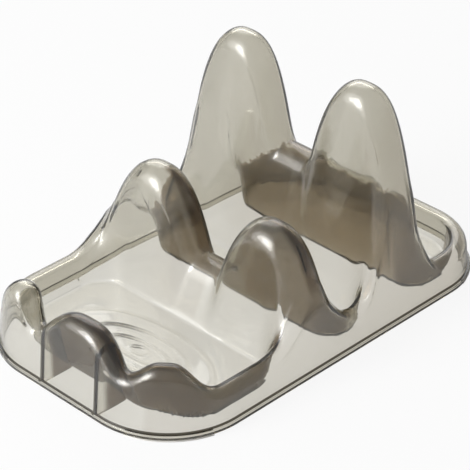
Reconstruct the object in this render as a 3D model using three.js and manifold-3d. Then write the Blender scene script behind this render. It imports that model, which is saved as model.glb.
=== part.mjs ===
// Spoon and lid rest: one clear smoke moulding, hollow and open underneath, on four soft grip pads.
// Millimetres, +Z up. The origin is on the table under the middle of the base. Spoon handles lie over
// the front ridge at -Y, pot lids stand in the bay between the middle and the rear range of peaks.
import * as THREE from 'three';
import { mergeGeometries, mergeVertices } from 'three/addons/utils/BufferGeometryUtils.js';
import Module from 'manifold-3d';

const { clamp, degToRad, lerp, smoothstep } = THREE.MathUtils;

// Base outline, wall and the lip round the foot of the skirt
const BASE_WIDTH = 137;
const BASE_LENGTH = 220;
const FRONT_CORNER_RADIUS = 42;
const REAR_CORNER_RADIUS = 36;
const WALL = 2;
const LIP_WIDTH = 1.2;
const LIP_HEIGHT = 2.5;
const SKIRT_DRAFT = 0.08; // inward lean of the skirt for each millimetre of height

// Rounded ridge that runs round the sides and the back
const RIDGE_HEIGHT = 17.3;
const RIDGE_INSET = 8.2; // crest of the ridge, in from the base outline
const RIDGE_INNER_RADIUS = 2.7;
const SIDE_FOOT = 12.2; // inner foot of the ridge along the sides and the back, in from the base outline
const FRONT_FOOT = 20.5; // the same along the front
const FRONT_FOOT_END = 44; // stations between which the foot swings from the front to the sides
const SIDE_FOOT_START = 76;
const INNER_LEAN = 1.3; // least lean of the inner face from its arc to its foot

// Humps along the front ridge: station is the distance along the crest from the middle of the front
const FRONT_HUMPS = [
  { station: -35.5, height: 39, spread: 11.5 },
  { station: 7, height: 39.6, spread: 24.5 },
  { station: 52, height: 32.5, spread: 15 },
];
const HUMP_POWER = 3; // fullness of the humps
const HUMP_LEAN = 0.125; // inward shift of the crest for each millimetre that a hump rises
const HUMP_ROUNDING = 0.2; // growth of the inner radius for each millimetre that a hump rises

// Floors of the spoon bay and of the lid bay and rear trough
const SPOON_FLOOR = 2.6;
const LID_FLOOR = 4.5;
const FLOOR_FILLET = 3; // blend of the walls into the floors

// Two ranges, each with a pair of equal peaks either side of a saddle. On each side, reach is the distance
// from the crest to the straight foot, radius the rounding of the crest, and corner the plan radius of the
// bay where the range turns into the side wall
const MIDDLE_RANGE = {
  y: -14, peakX: 35.8, peakHeight: 63.9, peakReach: 21.75, peakSlope: 2.76, peakPower: 2.57,
  saddleHeight: 27.5, saddleBlend: 7, wallBlend: 36.8,
  front: { reach: 18, radius: 10.5, corner: 14 },
  rear: { reach: 15.5, radius: 10, corner: 10 },
};
const REAR_RANGE = {
  y: 42.5, peakX: 36.6, peakHeight: 111.1, peakReach: 20.8, peakSlope: 4.04, peakPower: 2.77,
  saddleHeight: 63, saddleBlend: 13.7, wallBlend: 30,
  front: { reach: 20, radius: 10, corner: 10 },
  rear: { reach: 16, radius: 8.5, corner: 10 },
};
const CORNER_BLEND = 8; // blend of the corners into the ranges and the walls
const SKIRT_BLEND = 24; // blend of the ends of a range into the skirt
const LEAST_SKIRT_BLEND = 3;
const LEAST_RISE = 1; // lowest crest above the floor that a range's face is worked out for

// Gusset ribs under the front ridge, either side of the middle hump
const RIB_CENTRES = [-13, 21.5];
const RIB_THICKNESS = 1.6;
const RIB_LIFT = 0.8; // lower edge of a rib above the rim

// Grip pads under the rim at the corners
const PAD_THICKNESS = 1;
const PAD_MARGIN = 0.5; // rim left bare on each side of a pad
const PAD_SWEEP = degToRad(56);

// Spacing of the surface lines
const SKIRT_LINES = 4;
const RIDGE_CURVE_LINES = 2;
const RIDGE_FOOT_LINES = 2;
const CREST_LINES = 4;
const FLANK_LINES = 1;
const FOOT_BAND = 2; // width of the lowest band of a flank
const SPOON_BAY_LINES = 5;
const LID_BAY_LINES = 3;
const TROUGH_LINES = 3;
const COLUMN_STEP = 6;
const LEAST_ROW_STEP = 0.2;
const LINE_EASING = 1.5; // draws the lines of the skirt and of the ribs together towards the lip
const RIB_STEPS = 16;
const PAD_STEPS = 14;
const SLOPE_PROBE = 0.02; // step for measuring the slope of the surface
const WELD = 1e-4;

const HALF_WIDTH = BASE_WIDTH / 2;
const HALF_LENGTH = BASE_LENGTH / 2;
const SKIRT_FOOT = LIP_WIDTH + SKIRT_DRAFT * LIP_HEIGHT; // where the skirt rises from the lip
const RIM_RINGS = [
  { inset: 0, height: LIP_HEIGHT },
  { inset: 0, height: 0 },
  { inset: LIP_WIDTH + WALL, height: 0 },
];

const wasm = await Module();
wasm.setup();

// Smooth blends and drops that the surface is made of

function smoothMin(a, b, blend) {
  if (blend <= 0) return Math.min(a, b);
  const share = clamp(0.5 + (0.5 * (b - a)) / blend, 0, 1);
  return lerp(b, a, share) - blend * share * (1 - share);
}

function smoothMax(a, b, blend) {
  return -smoothMin(-a, -b, blend);
}

// Drop beside a crest: a circular arc that runs on as a straight slope
function arcDrop(offset, radius, slope) {
  const distance = Math.abs(offset);
  const steepness = Math.hypot(1, slope);
  const arcEnd = (radius * slope) / steepness;
  if (distance < arcEnd) return radius - Math.sqrt(radius ** 2 - distance ** 2);
  return radius * (1 - 1 / steepness) + slope * (distance - arcEnd);
}

// Slope of a straight face from a foot up to an arc round a crest, tangent to the arc
function faceSlope(run, rise, radius) {
  const drop = rise - radius;
  const lean = Math.acos(radius / Math.hypot(run, drop)) - Math.atan2(drop, run);
  return 1 / Math.tan(lean);
}

// Drop beside a peak: the slope grows as a power of the distance, then stays even
function powerDrop(offset, reach, slope, power) {
  const distance = Math.abs(offset);
  const reachDrop = (slope * reach) / power;
  if (distance < reach) return reachDrop * (distance / reach) ** power;
  return reachDrop + slope * (distance - reach);
}

// Plan of the base

function cornerRadius(y) {
  return y < 0 ? FRONT_CORNER_RADIUS : REAR_CORNER_RADIUS;
}

// Distance in from the base outline
function insetAt(x, y) {
  const radius = cornerRadius(y);
  const across = Math.abs(x) - HALF_WIDTH + radius;
  const along = Math.abs(y) - HALF_LENGTH + radius;
  const corner = Math.hypot(Math.max(across, 0), Math.max(along, 0));
  return radius - corner - Math.min(Math.max(across, along), 0);
}

// Moves a point of a square-cornered plan to the same place in the round-cornered one
function roundCorner(x, y) {
  const radius = cornerRadius(y);
  const across = Math.abs(x) - HALF_WIDTH + radius;
  const along = Math.abs(y) - HALF_LENGTH + radius;
  if (across <= 0 || along <= 0) return [x, y];
  const reach = Math.max(across, along);
  const angle = ((Math.PI / 4) * Math.min(across, along)) / reach;
  const major = reach * Math.cos(angle);
  const minor = reach * Math.sin(angle);
  const [outAcross, outAlong] = across >= along ? [major, minor] : [minor, major];
  return [
    Math.sign(x) * (HALF_WIDTH - radius + outAcross),
    Math.sign(y) * (HALF_LENGTH - radius + outAlong),
  ];
}

// Height of the upper surface

// Distance along the crest of the ridge from the middle of the front
function ridgeStation(x, y) {
  const straight = HALF_WIDTH - FRONT_CORNER_RADIUS;
  const behindFront = y + HALF_LENGTH;
  if (Math.abs(x) <= straight) return x;
  const angle = Math.atan2(Math.abs(x) - straight, Math.max(FRONT_CORNER_RADIUS - behindFront, 0));
  const alongSide = Math.max(behindFront - FRONT_CORNER_RADIUS, 0);
  return Math.sign(x) * (straight + (FRONT_CORNER_RADIUS - RIDGE_INSET) * angle + alongSide);
}

function floorHeight(y) {
  return y < MIDDLE_RANGE.y ? SPOON_FLOOR : LID_FLOOR;
}

function ridgeTop(x, y) {
  if (y > 0) return RIDGE_HEIGHT;
  const station = ridgeStation(x, y);
  const rise = (hump) => {
    const distance = Math.abs(station - hump.station) / hump.spread;
    return (hump.height - RIDGE_HEIGHT) * Math.exp(-(distance ** HUMP_POWER));
  };
  return FRONT_HUMPS.reduce((height, hump) => height + rise(hump), RIDGE_HEIGHT);
}

// Inset of the inner foot of the ridge
function ridgeFoot(x, y) {
  if (y > 0) return SIDE_FOOT;
  const station = Math.abs(ridgeStation(x, y));
  return lerp(FRONT_FOOT, SIDE_FOOT, smoothstep(station, FRONT_FOOT_END, SIDE_FOOT_START));
}

// Height of the straight skirt at an inset
function skirtHeight(inset) {
  return (inset - LIP_WIDTH) / SKIRT_DRAFT;
}

// Ridge: its outer arc is tangent to the skirt, its inner face runs from an inner arc to the foot
function ridgeSurface(x, y, inset) {
  const top = ridgeTop(x, y);
  const rise = top - RIDGE_HEIGHT;
  const crestInset = RIDGE_INSET + HUMP_LEAN * rise;
  if (inset < crestInset) {
    const room = crestInset - LIP_WIDTH - SKIRT_DRAFT * top;
    const radius = room / (Math.hypot(1, SKIRT_DRAFT) - SKIRT_DRAFT);
    return top - arcDrop(inset - crestInset, radius, 1 / SKIRT_DRAFT);
  }
  const run = ridgeFoot(x, y) - crestInset;
  const radius = Math.min(RIDGE_INNER_RADIUS + HUMP_ROUNDING * rise, run - INNER_LEAN);
  return top - arcDrop(inset - crestInset, radius, faceSlope(run, top - floorHeight(y), radius));
}

function rangeCrest(x, range) {
  const peak = (centre) =>
    range.peakHeight - powerDrop(x - centre, range.peakReach, range.peakSlope, range.peakPower);
  const pair = smoothMax(peak(-range.peakX), peak(range.peakX), range.saddleBlend);
  return smoothMax(pair, range.saddleHeight, range.saddleBlend);
}

// Height on one side of a range, at a distance from its crest
function rangeFace(x, away, range, side, floor) {
  const crest = rangeCrest(x, range);
  const slope = faceSlope(side.reach, Math.max(crest - floor, LEAST_RISE), side.radius);
  return crest - arcDrop(away, side.radius, slope);
}

// Corner of a bay: the face of the range turns into the inner face of the side wall round an arc in plan
function withCorner(height, x, y, inset, range, side) {
  const nearRange = side.corner + side.reach - Math.abs(y - range.y);
  const nearWall = side.corner + SIDE_FOOT - inset;
  if (nearRange <= 0 || nearWall <= 0) return height;
  const outside = Math.hypot(nearRange, nearWall) - side.corner;
  const face = rangeFace(x, Math.max(side.reach - outside, 0), range, side, floorHeight(y));
  const wallInset = Math.max(SIDE_FOOT - outside, Math.min(inset, RIDGE_INSET));
  const turn = smoothstep(Math.atan2(nearWall, nearRange), 0, Math.PI / 2);
  const corner = lerp(face, ridgeSurface(x, y, wallInset), turn);
  const depth = clamp(Math.min(nearRange, nearWall) / side.corner, 0, 1);
  return smoothMax(height, corner, CORNER_BLEND * depth);
}

function withRange(height, x, y, inset, range) {
  const side = y < range.y ? range.front : range.rear;
  const face = rangeFace(x, y - range.y, range, side, floorHeight(y));
  return withCorner(smoothMax(height, face, range.wallBlend), x, y, inset, range, side);
}

function topHeight(x, y) {
  const inset = insetAt(x, y);
  const ridge = ridgeSurface(x, y, inset);
  const ranges = [MIDDLE_RANGE, REAR_RANGE];
  const joined = ranges.reduce((height, range) => withRange(height, x, y, inset, range), ridge);
  const blend = clamp(joined - ridge, LEAST_SKIRT_BLEND, SKIRT_BLEND);
  const trimmed = smoothMin(joined, skirtHeight(inset), blend);
  return inset < RIDGE_INSET ? trimmed : smoothMax(trimmed, floorHeight(y), FLOOR_FILLET);
}

// Point a depth below the upper surface, measured square to it
function pointBelow(x, y, depth) {
  const slopeX = (topHeight(x + SLOPE_PROBE, y) - topHeight(x - SLOPE_PROBE, y)) / (2 * SLOPE_PROBE);
  const slopeY = (topHeight(x, y + SLOPE_PROBE) - topHeight(x, y - SLOPE_PROBE)) / (2 * SLOPE_PROBE);
  const normal = new THREE.Vector3(-slopeX, -slopeY, 1).normalize();
  return new THREE.Vector3(x, y, topHeight(x, y)).addScaledVector(normal, -depth);
}

// Lines of the surface, close together where it curves

function countTo(count, value) {
  return Array.from({ length: count }, (_, index) => value(index + 1));
}

// Lines at even spaces between two lines, without the two
function linesBetween(start, end, count) {
  return countTo(count, (line) => lerp(start, end, line / (count + 1)));
}

// Insets of the lines that follow the outer wall, from the foot of the skirt to the floor
function wallInsets() {
  const skirtRise = (line) => (line / SKIRT_LINES) ** LINE_EASING;
  const skirt = countTo(SKIRT_LINES, (line) => lerp(SKIRT_FOOT, RIDGE_INSET, skirtRise(line)));
  const turn = Math.PI / 2 / RIDGE_CURVE_LINES;
  const curve = countTo(
    RIDGE_CURVE_LINES, (line) => RIDGE_INSET + RIDGE_INNER_RADIUS * Math.sin(line * turn),
  );
  const foot = [SIDE_FOOT, ...linesBetween(SIDE_FOOT, FRONT_FOOT, RIDGE_FOOT_LINES), FRONT_FOOT];
  return [SKIRT_FOOT, ...skirt, ...curve, ...foot];
}

// Extra distance from a range to the floor where the corner of a bay rounds off
function cornerBulge(x, radius) {
  const fromWall = HALF_WIDTH - Math.abs(x) - SIDE_FOOT;
  return radius - Math.sqrt(radius ** 2 - clamp(radius - fromWall, 0, radius) ** 2);
}

// Distances of the rows from the crest of a range, from the crest to the floor on one side
function rowOffsets(x, side) {
  const turn = Math.PI / 2 / CREST_LINES;
  const crest = countTo(CREST_LINES, (line) => side.radius * Math.sin(line * turn));
  const foot = side.reach + cornerBulge(x, side.corner);
  const flank = linesBetween(side.radius, foot - FOOT_BAND, FLANK_LINES);
  return [...crest, ...flank, foot - FOOT_BAND, foot, foot + FOOT_BAND];
}

// Rows over a range at one column, from its front foot over the crest to its rear foot
function rangeRows(x, range) {
  return [
    ...rowOffsets(x, range.front).toReversed().map((offset) => range.y - offset),
    range.y,
    ...rowOffsets(x, range.rear).map((offset) => range.y + offset),
  ];
}

function rowsAt(x) {
  const ends = wallInsets().map((inset) => HALF_LENGTH - inset);
  const middle = rangeRows(x, MIDDLE_RANGE);
  const rear = rangeRows(x, REAR_RANGE);
  const wallFoot = ends.at(-1);
  const rows = [
    ...ends.map((y) => -y),
    ...linesBetween(-wallFoot, middle[0], SPOON_BAY_LINES),
    ...middle,
    ...linesBetween(middle.at(-1), rear[0], LID_BAY_LINES),
    ...rear,
    ...linesBetween(rear.at(-1), wallFoot, TROUGH_LINES),
    ...ends.toReversed(),
  ];
  let last = -Infinity;
  return rows.map((row) => {
    last = Math.max(row, last + LEAST_ROW_STEP);
    return last;
  });
}

function surfaceColumns() {
  const sides = wallInsets().map((inset) => HALF_WIDTH - inset);
  const wallFoot = sides.at(-1);
  const middle = linesBetween(-wallFoot, wallFoot, Math.round((2 * wallFoot) / COLUMN_STEP) - 1);
  return [...sides.map((x) => -x), ...middle, ...sides.toReversed()];
}

// Sheet of surface lines; its rings outside the skirt's foot make the lip and the rim

function sheet(columns, rings, place) {
  const rows = columns.map(rowsAt);
  const lastColumn = columns.length - 1;
  const lastRow = rows[0].length - 1;
  const geometry = new THREE.PlaneGeometry(1, 1, lastColumn + 2 * rings, lastRow + 2 * rings);
  const position = geometry.attributes.position;
  for (let index = 0; index < position.count; index += 1) {
    const column = (index % (lastColumn + 2 * rings + 1)) - rings;
    const row = Math.floor(index / (lastColumn + 2 * rings + 1)) - rings;
    const nearColumn = clamp(column, 0, lastColumn);
    const nearRow = clamp(row, 0, lastRow);
    const ring = Math.max(Math.abs(column - nearColumn), Math.abs(row - nearRow));
    const [x, y] = roundCorner(columns[nearColumn], rows[nearColumn][lastRow - nearRow]);
    const onEdge = nearColumn % lastColumn === 0 || nearRow % lastRow === 0;
    const point = place(x, y, ring, onEdge);
    position.setXYZ(index, point.x, point.y, point.z);
  }
  return geometry;
}

// Point of the rim: a distance in from the base outline, straight out from a point on the skirt's foot
function rimPoint(x, y, { inset, height }) {
  const outX = insetAt(x - SLOPE_PROBE, y) - insetAt(x + SLOPE_PROBE, y);
  const outY = insetAt(x, y - SLOPE_PROBE) - insetAt(x, y + SLOPE_PROBE);
  const outward = new THREE.Vector3(outX, outY, 0).normalize();
  return new THREE.Vector3(x, y, height).addScaledVector(outward, SKIRT_FOOT - inset);
}

function upperPoint(x, y, ring) {
  if (ring === 0) return new THREE.Vector3(x, y, topHeight(x, y));
  return rimPoint(x, y, RIM_RINGS[ring - 1]);
}

function lowerPoint(x, y, ring, onEdge) {
  return onEdge ? rimPoint(x, y, RIM_RINGS.at(-1)) : pointBelow(x, y, WALL);
}

function wallGeometry() {
  const columns = surfaceColumns();
  const upper = sheet(columns, RIM_RINGS.length, upperPoint);
  const lower = sheet(columns.toReversed(), 0, lowerPoint);
  return mergeGeometries([upper, lower]);
}

// Gusset rib: a plate that fills the section of the front ridge up to the middle of its wall
function ribGeometry(x) {
  const outline = Array.from({ length: RIB_STEPS + 1 }, (_, step) => {
    const inset = lerp(SKIRT_FOOT, FRONT_FOOT, (step / RIB_STEPS) ** LINE_EASING);
    return pointBelow(x, inset - HALF_LENGTH, WALL / 2);
  }).filter((point) => point.z > RIB_LIFT);
  const first = outline[0];
  const last = outline[outline.length - 1];
  const points = [
    new THREE.Vector2(first.y, RIB_LIFT),
    ...outline.map((point) => new THREE.Vector2(point.y, point.z)),
    new THREE.Vector2(last.y, RIB_LIFT),
  ];
  const geometry = new THREE.ExtrudeGeometry(new THREE.Shape(points), {
    depth: RIB_THICKNESS, bevelEnabled: false,
  });
  const standing = new THREE.Matrix4().makeBasis(
    new THREE.Vector3(0, 1, 0), new THREE.Vector3(0, 0, 1), new THREE.Vector3(1, 0, 0),
  );
  return geometry.applyMatrix4(standing).translate(x - RIB_THICKNESS / 2, 0, 0);
}

// Joining of closed meshes

function toSolid(geometry) {
  const bare = geometry.clone();
  bare.deleteAttribute('normal');
  bare.deleteAttribute('uv');
  const welded = mergeVertices(bare, WELD);
  const corners = welded.index.array;
  const kept = [];
  for (let index = 0; index < corners.length; index += 3) {
    const [a, b, c] = corners.slice(index, index + 3);
    if (a !== b && b !== c && c !== a) kept.push(a, b, c);
  }
  return new wasm.Manifold(new wasm.Mesh({
    numProp: 3,
    vertProperties: Float32Array.from(welded.attributes.position.array),
    triVerts: Uint32Array.from(kept),
  }));
}

function toGeometry(solid) {
  const mesh = solid.getMesh();
  const geometry = new THREE.BufferGeometry();
  geometry.setAttribute('position', new THREE.BufferAttribute(mesh.vertProperties, 3));
  geometry.setIndex(new THREE.BufferAttribute(mesh.triVerts, 1));
  geometry.computeVertexNormals();
  return geometry;
}

// Sub-parts

function mouldedBody() {
  const ribs = RIB_CENTRES.map((x) => toSolid(ribGeometry(x)));
  const solid = ribs.reduce((body, rib) => body.add(rib), toSolid(wallGeometry()));
  const smoke = new THREE.MeshStandardMaterial({
    color: 0xa8a091, roughness: 0.12, metalness: 0, transparent: true, opacity: 0.45,
  });
  const body = new THREE.Mesh(toGeometry(solid), smoke);
  body.name = 'moulded_body';
  body.position.z = PAD_THICKNESS;
  return body;
}

// Grip pad: a strip that follows the rim round one corner
function gripPad(name, sideX, sideY) {
  const radius = cornerRadius(sideY);
  const outer = radius - PAD_MARGIN;
  const inner = radius - LIP_WIDTH - WALL + PAD_MARGIN;
  const middle = Math.atan2(sideY, sideX);
  const start = middle - PAD_SWEEP / 2;
  const end = middle + PAD_SWEEP / 2;
  const outline = new THREE.Shape();
  outline.absarc(0, 0, outer, start, end, false);
  outline.absarc(0, 0, inner, end, start, true);
  const geometry = new THREE.ExtrudeGeometry(outline, {
    depth: PAD_THICKNESS, bevelEnabled: false, curveSegments: PAD_STEPS,
  });
  const silicone = new THREE.MeshStandardMaterial({ color: 0xd9d7cf, roughness: 0.55, metalness: 0 });
  const pad = new THREE.Mesh(geometry, silicone);
  pad.name = name;
  pad.position.set(sideX * (HALF_WIDTH - radius), sideY * (HALF_LENGTH - radius), 0);
  return pad;
}

const rest = new THREE.Group();
rest.add(mouldedBody());
rest.add(gripPad('grip_pad_front_left', -1, -1));
rest.add(gripPad('grip_pad_front_right', 1, -1));
rest.add(gripPad('grip_pad_rear_left', -1, 1));
rest.add(gripPad('grip_pad_rear_right', 1, 1));

export default rest;
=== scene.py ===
"""Looks of a spoon and lid rest: one clear smoke moulding, hollow underneath, on four soft grip pads.

The sizes of the forms are millimetres, as on a mould drawing, and those of the finishes, the camera and the
lamps are metres. Meshes are made in metres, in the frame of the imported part: +Z up, the origin on the table
under the middle of the base, spoon handles towards -Y.
"""

from __future__ import annotations

import logging
import math
from dataclasses import dataclass, field
from enum import Enum
from typing import Mapping, Sequence, Union

import bpy
import numpy as np
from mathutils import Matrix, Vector


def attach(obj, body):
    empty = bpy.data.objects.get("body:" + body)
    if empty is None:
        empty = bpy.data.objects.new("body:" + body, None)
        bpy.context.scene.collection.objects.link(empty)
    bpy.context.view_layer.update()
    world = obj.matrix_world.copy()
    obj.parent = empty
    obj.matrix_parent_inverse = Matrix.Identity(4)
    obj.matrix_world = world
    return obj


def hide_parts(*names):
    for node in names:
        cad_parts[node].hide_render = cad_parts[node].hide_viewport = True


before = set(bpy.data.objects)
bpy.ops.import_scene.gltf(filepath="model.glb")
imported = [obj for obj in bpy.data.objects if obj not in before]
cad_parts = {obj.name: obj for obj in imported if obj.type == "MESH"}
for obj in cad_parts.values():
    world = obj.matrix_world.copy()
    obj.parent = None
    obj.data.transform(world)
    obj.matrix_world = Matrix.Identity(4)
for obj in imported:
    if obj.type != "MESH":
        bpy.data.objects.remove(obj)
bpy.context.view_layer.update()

LOG = logging.getLogger("spoon_and_lid_rest")
MM = 0.001
PIXELS = 470
Array = np.ndarray
Number = Union[float, int]
Colour = tuple[float, float, float, float]


class Corner(Enum):
    """The four corners of the rim, by the name of the grip pad that sits there."""

    FRONT_LEFT = "grip_pad_front_left"
    FRONT_RIGHT = "grip_pad_front_right"
    REAR_LEFT = "grip_pad_rear_left"
    REAR_RIGHT = "grip_pad_rear_right"


class Slot(Enum):
    """The record's material slots."""

    PLASTIC = "smoke_plastic"
    SILICONE = "clear_silicone"


# Shader building


class Signal:
    """A shader socket whose Python operators add Math nodes."""

    def __init__(self, tree: ShaderTree, socket: bpy.types.NodeSocket) -> None:
        """Wraps one output socket of a tree."""
        self.tree = tree
        self.socket = socket

    def _math(self, operation: str, first: SignalOrNumber, second: SignalOrNumber) -> Signal:
        """Adds one Math node.

        Args:
            operation: Name of the Math node's operation.
            first: Its first value or link.
            second: Its second value or link.

        Returns:
            The node's result.
        """
        return self.tree.add("ShaderNodeMath", {"operation": operation}, {0: first, 1: second})

    def __add__(self, other: SignalOrNumber) -> Signal:
        """Sum of two values."""
        return self._math("ADD", self, other)

    def __radd__(self, other: Number) -> Signal:
        """Sum with a plain number on the left."""
        return self._math("ADD", other, self)

    def __sub__(self, other: SignalOrNumber) -> Signal:
        """Difference of two values."""
        return self._math("SUBTRACT", self, other)

    def __rsub__(self, other: Number) -> Signal:
        """Difference from a plain number."""
        return self._math("SUBTRACT", other, self)

    def __mul__(self, other: SignalOrNumber) -> Signal:
        """Product of two values."""
        return self._math("MULTIPLY", self, other)

    def __rmul__(self, other: Number) -> Signal:
        """Product with a plain number on the left."""
        return self._math("MULTIPLY", other, self)

    def __pow__(self, other: SignalOrNumber) -> Signal:
        """One value to the power of another."""
        return self._math("POWER", self, other)

    def __abs__(self) -> Signal:
        """The value without its sign."""
        return self._math("ABSOLUTE", self, 0.0)

    def highest(self, other: SignalOrNumber) -> Signal:
        """The larger of two values."""
        return self._math("MAXIMUM", self, other)

    def lowest(self, other: SignalOrNumber) -> Signal:
        """The smaller of two values."""
        return self._math("MINIMUM", self, other)


SignalOrNumber = Union[Signal, Number]
SocketValue = Union[Signal, Number, Sequence[float]]


class ShaderTree:
    """A node tree that is filled through one method."""

    def __init__(self, owner: bpy.types.Material | bpy.types.World) -> None:
        """Starts an empty tree.

        Args:
            owner: The material or world.
        """
        owner.use_nodes = True
        self.tree = owner.node_tree
        self.tree.nodes.clear()

    def add(
        self,
        kind: str,
        settings: Mapping[str, object] | None = None,
        sockets: Mapping[Union[str, int], SocketValue] | None = None,
        output: Union[str, int] = 0,
    ) -> Signal:
        """Adds one node.

        Args:
            kind: Blender's type name of the node.
            settings: Its settings, which are set first.
            sockets: Values or links of its inputs, by name or index.
            output: The output that is wanted.

        Returns:
            That output.
        """
        node = self.tree.nodes.new(kind)
        for name, value in (settings or {}).items():
            setattr(node, name, value)
        for key, value in (sockets or {}).items():
            if isinstance(value, Signal):
                self.tree.links.new(value.socket, node.inputs[key])
            else:
                node.inputs[key].default_value = value
        return Signal(self, node.outputs[output] if len(node.outputs) else None)

    def noise(self, place: Signal, scale: float, detail: float = 2.0) -> Signal:
        """Cloudy noise at a scale per metre.

        Args:
            place: The coordinates.
            scale: Size of the noise, in cells per metre.
            detail: Number of finer layers.

        Returns:
            The noise, from 0 to 1.
        """
        sockets = {"Vector": place, "Scale": scale, "Detail": detail}
        return self.add("ShaderNodeTexNoise", {}, sockets, "Fac")

    def stretch(self, place: Signal, scale: Sequence[float], turn: Sequence[float]) -> Signal:
        """Coordinates turned and then stretched, for streaks along one direction.

        Args:
            place: The coordinates.
            scale: Stretch along each axis.
            turn: Turn about each axis, in radians.

        Returns:
            The new coordinates.
        """
        return self.add("ShaderNodeMapping", {}, {"Vector": place, "Scale": scale, "Rotation": turn})

    def blend(self, share: SignalOrNumber, first: SocketValue, second: SocketValue) -> Signal:
        """Mixes two colours.

        Args:
            share: Share of the second colour.
            first: Colour where the share is 0.
            second: Colour where the share is 1.

        Returns:
            The mixed colour.
        """
        return self.add("ShaderNodeMix", {"data_type": "RGBA"}, {0: share, 6: first, 7: second}, 2)

    def range(self, value: Signal, start: float, end: float) -> Signal:
        """Smooth step of a value from 0 to 1.

        Args:
            value: The value.
            start: Where the step starts.
            end: Where the step ends.

        Returns:
            The step.
        """
        settings = {"interpolation_type": "SMOOTHSTEP"}
        return self.add("ShaderNodeMapRange", settings, {"Value": value, "From Min": start, "From Max": end})

    def seen(self, mirrored: float = 0.12) -> Signal:
        """1 for rays that show the background straight or through the plastic, less for mirrored ones.

        Args:
            mirrored: Share of the background in mirrored rays.

        Returns:
            The share.
        """
        kinds = ("Is Camera Ray", "Is Transmission Ray", "Is Glossy Ray")
        camera, through, glossy = (self.add("ShaderNodeLightPath", {}, {}, kind) for kind in kinds)
        return camera.highest(through).highest(glossy * mirrored)

    def output(self, surface: Signal, volume: Signal | None = None) -> None:
        """Links the finished shader to the material's output.

        Args:
            surface: The surface shader.
            volume: The shader of the inside, if any.
        """
        sockets = {"Surface": surface} if volume is None else {"Surface": surface, "Volume": volume}
        self.add("ShaderNodeOutputMaterial", {}, sockets)


# Finishes


@dataclass(frozen=True)
class RippleRings:
    """Fine oval ripples moulded into the floor of the spoon bay."""

    centre: tuple[float, float] = (1.5, -63.2)
    rings: tuple[tuple[float, float], ...] = ((42.0, 21.0), (28.0, 12.8), (17.0, 6.0), (4.5, 2.6))
    height: float = 0.45
    half_width: float = 0.8
    fade: float = 0.6
    shade_towards: tuple[float, float] = (-0.8, 0.6)
    shade_reach: tuple[float, float] = (0.74, 1.0)
    shade_width: float = 1.4
    shade_core: float = 0.3
    shade_height: tuple[float, float] = (0.5, 4.6)
    shade_fade: float = 0.2

    def rise(self, x: Array, y: Array) -> Array:
        """Height of the ripples above the floor.

        Args:
            x: Places across.
            y: Places along.

        Returns:
            The height.
        """
        across, along = x - self.centre[0], y - self.centre[1]
        total = np.zeros_like(x)
        for half_x, half_y in self.rings:
            level = np.hypot(across / half_x, along / half_y)
            slope = np.hypot(across / half_x ** 2, along / half_y ** 2) / np.maximum(level, 1e-6)
            away = (level - 1) / np.maximum(slope, 1e-6) / self.half_width
            total = np.maximum(total, self.height * np.exp(-(away ** 2)))
        return total

    def shade(self, tree: ShaderTree, x: Signal, y: Signal, z: Signal) -> Signal:
        """Dark tapered arcs where the steep sides of the inner ripples turn from the light.

        Args:
            tree: The material's nodes.
            x: Place across, in metres.
            y: Place along, in metres.
            z: Height, in metres.

        Returns:
            The share of dark.
        """
        low, high = self.shade_height
        share = 0.0 * x
        for half_x, half_y in self.rings[1:]:
            across = (x - self.centre[0] * MM) * (1 / (half_x * MM))
            along = (y - self.centre[1] * MM) * (1 / (half_y * MM))
            level = (across * across + along * along) ** 0.5
            facing = across * self.shade_towards[0] + along * self.shade_towards[1]
            taper = tree.range(facing, *self.shade_reach)
            width = self.shade_width / math.sqrt(half_x * half_y)
            line = 1.0 - tree.range(abs(level - 1.0), self.shade_core * width, width)
            share = share.highest(line * taper)
        above = tree.range(z, low * MM, (low + self.shade_fade) * MM)
        return share * above * (1.0 - tree.range(z, high * MM, (high + self.shade_fade) * MM))


@dataclass(frozen=True)
class PaintedShadeBand:
    """Painted shade in the rear face of a range: brown under an upper line, darkest down to a lower line.

    Each line is a height in the middle, a rise per distance across, and a highest level.
    """

    crest: float
    foot: float
    upper: tuple[float, float, float]
    lower: tuple[float, float, float]
    step: float = 0.0006

    def over(self, tree: ShaderTree, x: Signal, height: Signal, line: tuple[float, float, float]) -> Signal:
        """Crisp step where a height lies over a line.

        Args:
            tree: The material's nodes.
            x: Place across.
            height: The height.
            line: The line.

        Returns:
            The step.
        """
        level, rise, highest = line
        return tree.range(height - (level + rise * x).lowest(highest), -self.step, self.step)


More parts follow.
